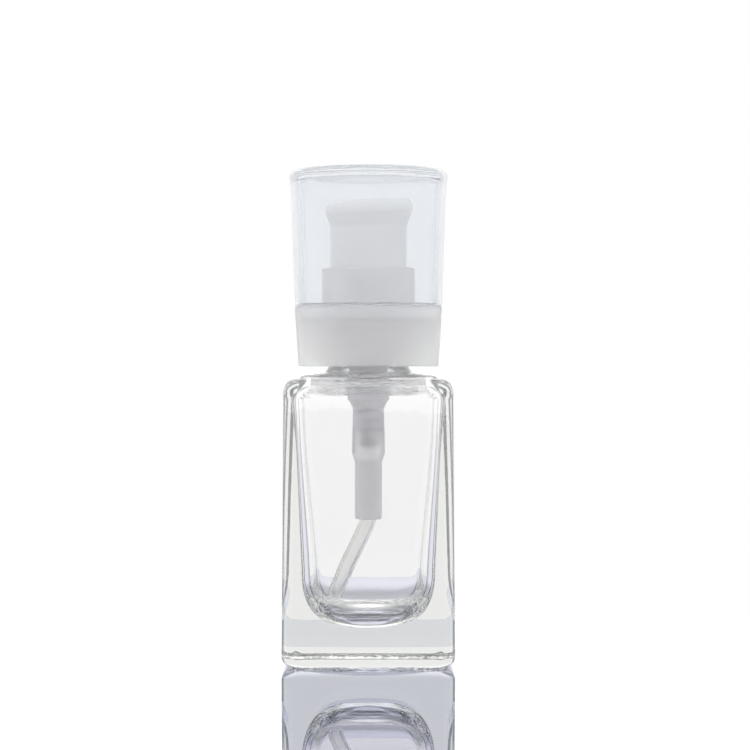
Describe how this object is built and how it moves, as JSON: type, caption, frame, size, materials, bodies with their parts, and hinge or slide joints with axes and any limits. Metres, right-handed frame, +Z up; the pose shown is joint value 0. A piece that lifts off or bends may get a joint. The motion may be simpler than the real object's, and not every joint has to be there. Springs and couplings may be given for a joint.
{
  "type": "foundation bottle",
  "caption": "Square clear glass foundation bottle with a heavy base, a translucent lotion pump with a dip tube, a tapered collar and a tapered translucent overcap.",
  "frame": {"origin": "on the bottle's axis, at the middle of the plane that it stands on", "axes": "+Z up along the neck and pump axis, -Y the front face, +X to the right seen from the front"},
  "size_m": [0.035, 0.035, 0.1012],
  "materials": {
    "glass": "clear flint glass, fire polished",
    "pump_plastic": "natural polypropylene, translucent, satin",
    "collar_plastic": "natural polypropylene, translucent, satin",
    "cap_plastic": "clarified polypropylene, translucent, smooth",
    "tube_plastic": "natural polyethylene, translucent",
    "seal": "soft low-density polyethylene",
    "steel": "stainless steel, drawn and bright"
  },
  "bodies": {
    "bottle": {"glass_bottle": "glass"},
    "pump": {"neck_gasket": "seal", "pump_housing": "pump_plastic", "dip_tube": "tube_plastic", "return_spring": "steel", "stem_guide": "pump_plastic"},
    "closure": {"screw_closure": "pump_plastic", "collar_shell": "collar_plastic"},
    "overcap": {"overcap": "cap_plastic"},
    "stem": {"lower_stem": "pump_plastic", "upper_stem": "pump_plastic"},
    "piston": {"piston_seal": "seal"},
    "actuator": {"actuator": "pump_plastic"},
    "inlet_ball": {"valve_ball": "steel"}
  },
  "joints": [
    {"name": "pump_lift", "type": "slide", "parent": "bottle", "child": "pump", "axis": [0, 0, 1], "range_m": [0, 0.0042]},
    {"name": "closure_turn", "type": "hinge", "parent": "pump", "child": "closure", "pos_m": [0, 0, 0.065], "axis": [0, 0, 1], "range_deg": [0, 450]},
    {"name": "overcap_lift", "type": "slide", "parent": "closure", "child": "overcap", "axis": [0, 0, 1], "range_m": [0, 0.03]},
    {"name": "press", "type": "slide", "parent": "pump", "child": "stem", "axis": [0, 0, 1], "range_m": [-0.006, 0], "stiffness_N_per_m": 800, "springref_m": 0.004, "deforming": ["return_spring"]},
    {"name": "piston_slip", "type": "slide", "parent": "stem", "child": "piston", "axis": [0, 0, 1], "range_m": [0, 0.0007]},
    {"name": "actuator_spin", "type": "hinge", "parent": "stem", "child": "actuator", "pos_m": [0, 0, 0.088], "axis": [0, 0, 1], "continuous": true},
    {"name": "ball_lift", "type": "slide", "parent": "pump", "child": "inlet_ball", "axis": [0, 0, 1], "range_m": [0, 0.0008]}
  ],
  "couplings": [
    {"joint": "pump_lift", "follows": "closure_turn", "m_per_rad": 0.00050532}
  ]
}
